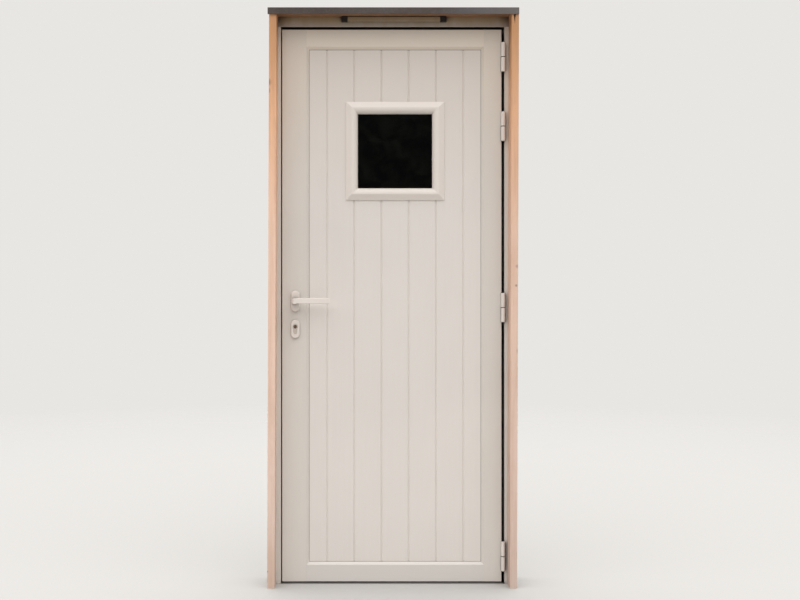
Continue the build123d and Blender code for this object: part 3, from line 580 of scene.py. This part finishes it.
def soften(node, width):
    """Small rounded edges: joins the faces' own corners, bevels what is sharp, evens shading."""
    weld = node.modifiers.new("weld", "WELD")
    weld.merge_threshold = weld_distance
    bevel = node.modifiers.new("edges", "BEVEL")
    bevel.width = width
    bevel.segments = edge_segments
    bevel.limit_method = "ANGLE"
    bevel.angle_limit = bevelled_above
    bevel.use_clamp_overlap = True
    shading = node.modifiers.new("shading", "WEIGHTED_NORMAL")
    shading.keep_sharp = True


def dress_nodes():
    """Gives each CAD node its material, smooth curved faces and small rounded edges."""
    for name, node in nodes.items():
        node.data.materials.clear()
        node.data.materials.append(own_finish.get(name) or finishes[slot_of[name]])
        node.data.polygons.foreach_set("use_smooth", [True] * len(node.data.polygons))
        if name in edge_width:
            soften(node, edge_width[name])


# Screws. A turn of the thread is three rings, each a radius and its share of the pitch.

screw_head_radius = 0.0042
screw_head_depth = 0.0026
screw_root = 0.0016
screw_thread = 0.0020
screw_pitch = 0.0018
screw_point = 0.004
turn_profile = [(screw_root, 0.45), (screw_thread, 0.7), (screw_root, 1.0)]
recess_arm = 0.0022
recess_half = 0.0006
recess_depth = 0.0016
pit_arm = recess_arm * 0.45
pit_half = recess_half * 0.8
head_sides = 32
shank_sides = 16


def circle(radius, sides):
    """Points round a circle about the origin."""
    turns = [2 * math.pi * step / sides for step in range(sides)]
    return [(radius * math.cos(turn), radius * math.sin(turn)) for turn in turns]


def ring(mesh, radius, depth, sides):
    """A ring of corners about the screw's axis, which runs along +Z into the work."""
    return [mesh.verts.new((x, y, depth)) for x, y in circle(radius, sides)]


def cross(mesh, arm, half, depth):
    """The twelve corners of a cross recess."""
    quarter = [(arm, -half), (arm, half), (half, half)]
    corners = []
    for turn in range(4):
        for x, y in quarter:
            for _ in range(turn):
                x, y = -y, x
            corners.append(mesh.verts.new((x, y, depth)))
    return corners


def sides_of(loop):
    """Each corner of a ring with the one after it."""
    return list(zip(loop, loop[1:] + loop[:1]))


def skin(mesh, first, second):
    """Faces between two rings with the same number of corners."""
    for (start, end), (below, beyond) in zip(sides_of(first), sides_of(second)):
        mesh.faces.new((start, end, beyond, below))


def fill(mesh, *loops):
    """Flat faces between the outlines of rings that lie in one plane."""
    edges = []
    for loop in loops:
        edges += [mesh.edges.get(side) or mesh.edges.new(side) for side in sides_of(loop)]
    bmesh.ops.triangle_fill(mesh, use_beauty=True, edges=edges)


def screw_mesh(length):
    """A countersunk wood screw with a cross recess and a threaded, pointed shank."""
    mesh = bmesh.new()
    rim = ring(mesh, screw_head_radius, 0.0, head_sides)
    mouth = cross(mesh, recess_arm, recess_half, 0.0)
    pit = cross(mesh, pit_arm, pit_half, recess_depth)
    fill(mesh, rim, mouth)
    skin(mesh, mouth, pit)
    mesh.faces.new(pit)
    neck = ring(mesh, screw_thread, screw_head_depth, head_sides)
    skin(mesh, rim, neck)
    last = ring(mesh, screw_root, screw_head_depth, shank_sides)
    fill(mesh, last, neck)
    turns = int((length - screw_head_depth - screw_point) / screw_pitch)
    for turn in range(turns):
        start = screw_head_depth + turn * screw_pitch
        for radius, share in turn_profile:
            after = ring(mesh, radius, start + share * screw_pitch, shank_sides)
            skin(mesh, last, after)
            last = after
    tip = mesh.verts.new((0, 0, length))
    for corner, other in sides_of(last):
        mesh.faces.new((corner, other, tip))
    bmesh.ops.recalc_face_normals(mesh, faces=mesh.faces)
    return mesh


def islands(node):
    """The corners of each of a node's separate solids."""
    mesh = bmesh.new()
    mesh.from_mesh(node.data)
    bmesh.ops.remove_doubles(mesh, verts=mesh.verts, dist=weld_distance)
    found = []
    seen = set()
    for start in mesh.verts:
        if start in seen:
            continue
        seen.add(start)
        group = [start]
        for vert in group:
            for edge in vert.link_edges:
                other = edge.other_vert(vert)
                if other not in seen:
                    seen.add(other)
                    group.append(other)
        found.append([vert.co.copy() for vert in group])
    mesh.free()
    return found


def screw_place(corners):
    """A plain screw's head centre, its length and which way it points along X."""
    low = min(corner.x for corner in corners)
    high = max(corner.x for corner in corners)
    middle = sum(corners, Vector()) / len(corners)
    reach = {}
    for end in (low, high):
        near = [corner for corner in corners if abs(corner.x - end) < weld_distance]
        reach[end] = max((corner - middle).yz.length for corner in near)
    head = max(reach, key=reach.get)
    return Vector((head, middle.y, middle.z)), high - low, 1 if head == low else -1


def add_screws(name, body):
    """Round countersunk screws in place of a node's plain ones."""
    whole = bmesh.new()
    for corners in islands(nodes[name]):
        place, length, way = screw_place(corners)
        one = screw_mesh(length)
        one.transform(Matrix.Translation(place) @ Matrix.Rotation(way * quarter_turn, 4, "Y"))
        part = bpy.data.meshes.new("one_screw")
        one.to_mesh(part)
        one.free()
        whole.from_mesh(part)
        bpy.data.meshes.remove(part)
    mesh = bpy.data.meshes.new(f"{name}_round")
    whole.to_mesh(mesh)
    whole.free()
    piece = keep(bpy.data.objects.new(f"{name}_round", mesh))
    mesh.materials.append(finishes[slot_of[name]])
    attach(piece, body)
    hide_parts(name)


# Stage and light. The sky's levels are its brightness at each height, 0 level and 1 overhead.

floor_colour = screen(176, 174, 171)
floor_radius = 7.0
floor_sides = 72
floor_fade = (3.0, 6.5)
background_colour = screen(232, 230, 227)
sky_levels = [(0.0, 0.20), (0.08, 0.02), (0.22, 0.02), (0.38, 0.63), (1.0, 1.0)]
sky_strength = 2.41
sky_bias = (-0.25, -0.45, 0.70)
sky_bias_share = 0.16
reflected_above = (0.22, 0.34)


def add_floor():
    """A plain pale floor that fades into the background."""
    mesh = bpy.data.meshes.new("floor")
    corners = [(x, y, 0.0) for x, y in circle(floor_radius, floor_sides)]
    mesh.from_pydata(corners, [], [list(range(floor_sides))])
    floor = keep(bpy.data.objects.new("floor", mesh))
    made = Material("floor", Base_Color=floor_colour, Roughness=0.9, Specular_IOR_Level=0.1)
    fade = made.between(made.measure("LENGTH", made.place), *floor_fade)
    solid = made.shader.outputs["BSDF"]
    clear = made.node("ShaderNodeBsdfTransparent").outputs["BSDF"]
    blend = made.node("ShaderNodeMixShader", [(0, fade), (1, solid), (2, clear)])
    surface = made.tree.nodes["Material Output"].inputs["Surface"]
    made.tree.links.new(blend.outputs["Shader"], surface)
    mesh.materials.append(made.data)


def add_world():
    """A soft sky and a pale background.

    The sky is dark near the horizon and a little brighter overhead, in front and to the left.
    """
    world = bpy.data.worlds.new("world")
    bpy.context.scene.world = world
    made = Nodes(world)
    made.tree.nodes.clear()
    direction = made.node("ShaderNodeTexCoord").outputs["Generated"]
    height = made.along(direction, "Z")
    sky = made.ramp(height, [(place, (level, level, level, 1.0)) for place, level in sky_levels])
    towards = made.measure("DOT_PRODUCT", direction, tuple(Vector(sky_bias).normalized()))
    bias = made.between(towards, -1.0, 1.0, 1.0 - sky_bias_share, 1.0 + sky_bias_share)
    strength = made.maths("MULTIPLY", bias, sky_strength)
    light = made.node("ShaderNodeBackground", [("Color", sky), ("Strength", strength)])
    pale = made.node("ShaderNodeBackground", [("Color", background_colour)])
    rays = made.node("ShaderNodeLightPath").outputs
    mirrored = made.maths("MAXIMUM", rays["Is Glossy Ray"], rays["Is Transmission Ray"])
    mirrored = made.maths("MULTIPLY", mirrored, made.between(height, *reflected_above))
    seen = made.maths("MAXIMUM", rays["Is Camera Ray"], mirrored)
    both = [(0, seen), (1, light.outputs["Background"]), (2, pale.outputs["Background"])]
    mix = made.node("ShaderNodeMixShader", both)
    made.node("ShaderNodeOutputWorld", [("Surface", mix.outputs["Shader"])])


add_camera()
dress_nodes()
add_screws("leaf_screws", "leaf")
add_screws("frame_screws", "frame")
add_floor()
add_world()
bpy.context.scene.view_settings.view_transform = "Standard"
